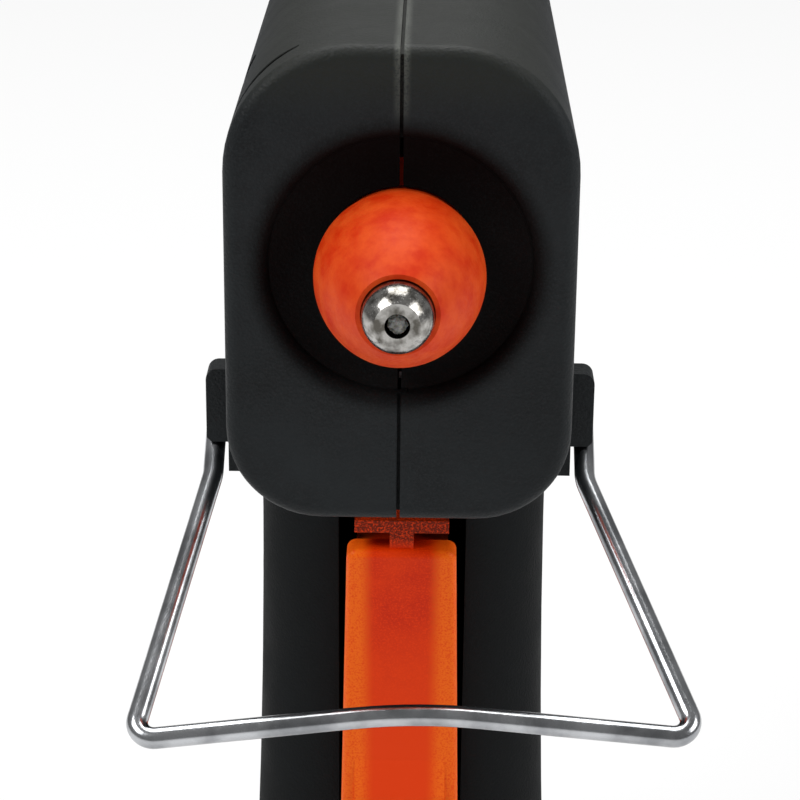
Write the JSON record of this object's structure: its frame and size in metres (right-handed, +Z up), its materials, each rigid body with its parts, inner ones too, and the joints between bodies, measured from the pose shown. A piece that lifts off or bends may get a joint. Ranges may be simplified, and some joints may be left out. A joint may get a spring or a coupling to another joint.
{
  "type": "glue gun",
  "caption": "Hot-glue gun with a two-shell barrel and handle, sleeved nozzle, trigger-driven stick feed and a folding wire stand.",
  "frame": {"origin": "centre of the glue-stick inlet's mouth, on the barrel axis", "axes": "+Y along the barrel towards the rear, nozzle towards -Y; +Z up, handle towards -Z; X = 0 is the seam plane"},
  "size_m": [0.0607, 0.1597, 0.1622],
  "materials": {
    "shell_black": "fine moulded grain",
    "screw_steel": "zinc plated",
    "orange_silicone": "matte",
    "nozzle_steel": "polished",
    "brass": "plain",
    "pin_steel": "bright",
    "chamber_aluminium": "cast",
    "film": "amber film",
    "heater_ceramic": "fired",
    "holder_phenolic": "moulded phenolic",
    "clear_silicone": "translucent white",
    "carriage_nylon": "moulded nylon",
    "lever_steel": "stamped",
    "trigger_orange": "satin",
    "bush_black": "moulded",
    "gland_rubber": "matte",
    "block_white": "moulded",
    "wire_steel": "bright plated"
  },
  "bodies": {
    "gun": {"left_shell": "shell_black", "right_shell": "shell_black", "shell_screws": "screw_steel", "nozzle_sleeve": "orange_silicone", "nozzle": "nozzle_steel", "valve_seat": "brass", "check_ball": "pin_steel", "valve_spring": "pin_steel", "heating_chamber": "chamber_aluminium", "insulation_film": "film", "heater_electrodes": "brass", "ptc_heater": "heater_ceramic", "front_chamber_holder": "holder_phenolic", "rear_chamber_holder": "holder_phenolic", "guide_sleeve": "clear_silicone", "guide_clamp": "pin_steel", "lever_pin": "pin_steel", "return_spring": "pin_steel", "inlet_bush": "bush_black", "cord_gland": "gland_rubber", "cord_clamp": "carriage_nylon", "clamp_screws": "screw_steel", "terminal_block": "block_white", "terminal_screws": "screw_steel"},
    "trigger": {"trigger": "trigger_orange", "trigger_pin": "pin_steel"},
    "lever": {"drive_lever": "lever_steel"},
    "carriage": {"feed_carriage": "carriage_nylon", "drive_pin": "pin_steel", "grip_pin": "pin_steel"},
    "cam": {"grip_cam": "lever_steel"},
    "stand": {"wire_stand": "wire_steel"}
  },
  "joints": [
    {"name": "trigger_slide", "type": "slide", "parent": "gun", "child": "trigger", "axis": [0, 1, 0], "range_m": [0, 0.01], "stiffness_N_per_m": 900, "springref_m": -0.004, "deforming": ["return_spring"]},
    {"name": "lever_pivot", "type": "hinge", "parent": "gun", "child": "lever", "pos_m": [0, -0.0585, -0.038], "axis": [1, 0, 0], "range_deg": [-0.5, 28.57]},
    {"name": "carriage_slide", "type": "slide", "parent": "gun", "child": "carriage", "axis": [0, -1, 0], "range_m": [-0.0002, 0.0122]},
    {"name": "cam_pivot", "type": "hinge", "parent": "carriage", "child": "cam", "pos_m": [0, -0.052, 0.0132], "axis": [1, 0, 0], "range_deg": [-0.5, 12.5]},
    {"name": "stand_hinge", "type": "hinge", "parent": "gun", "child": "stand", "pos_m": [0, -0.1219, -0.0206], "axis": [1, 0, 0], "range_deg": [0, 92]}
  ],
  "couplings": [
    {"joint": "lever_pivot", "follows": "trigger_slide", "rad_per_m": 48.996},
    {"joint": "carriage_slide", "follows": "trigger_slide", "ratio": 1.2},
    {"joint": "cam_pivot", "follows": "trigger_slide", "rad_per_m": 20.944}
  ]
}
